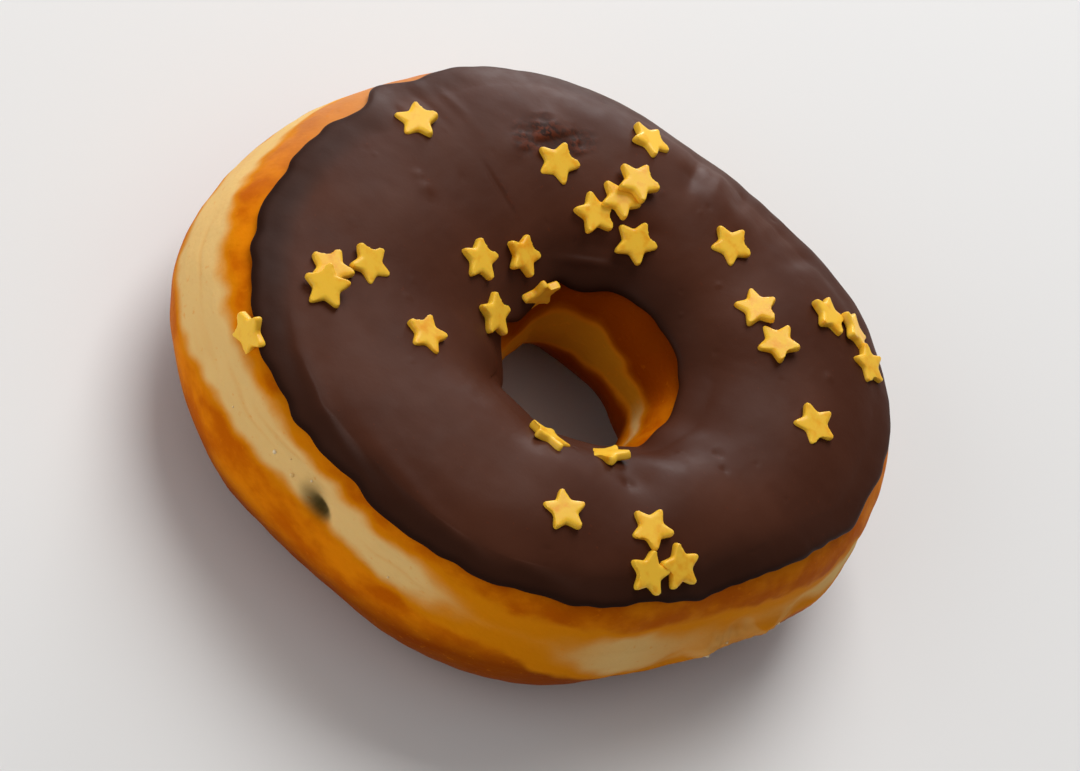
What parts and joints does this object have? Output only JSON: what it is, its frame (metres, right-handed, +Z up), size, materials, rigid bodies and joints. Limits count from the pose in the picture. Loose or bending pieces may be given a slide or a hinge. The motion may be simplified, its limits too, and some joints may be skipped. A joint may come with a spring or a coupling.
{
  "type": "ring doughnut",
  "caption": "Fried ring doughnut with a pale belt round its side, topped with dark chocolate icing and scattered star sprinkles; lies flat on its base.",
  "frame": {"origin": "on the table, under the middle of the doughnut's box", "axes": "+Z up out of the iced top; X and Y lie in the table"},
  "size_m": [0.0954, 0.0906, 0.0323],
  "materials": {
    "fried_dough": null,
    "chocolate_icing": null,
    "star_sprinkles": null
  },
  "bodies": {
    "root": {"dough": "fried_dough", "icing": "chocolate_icing"}
  },
  "joints": []
}
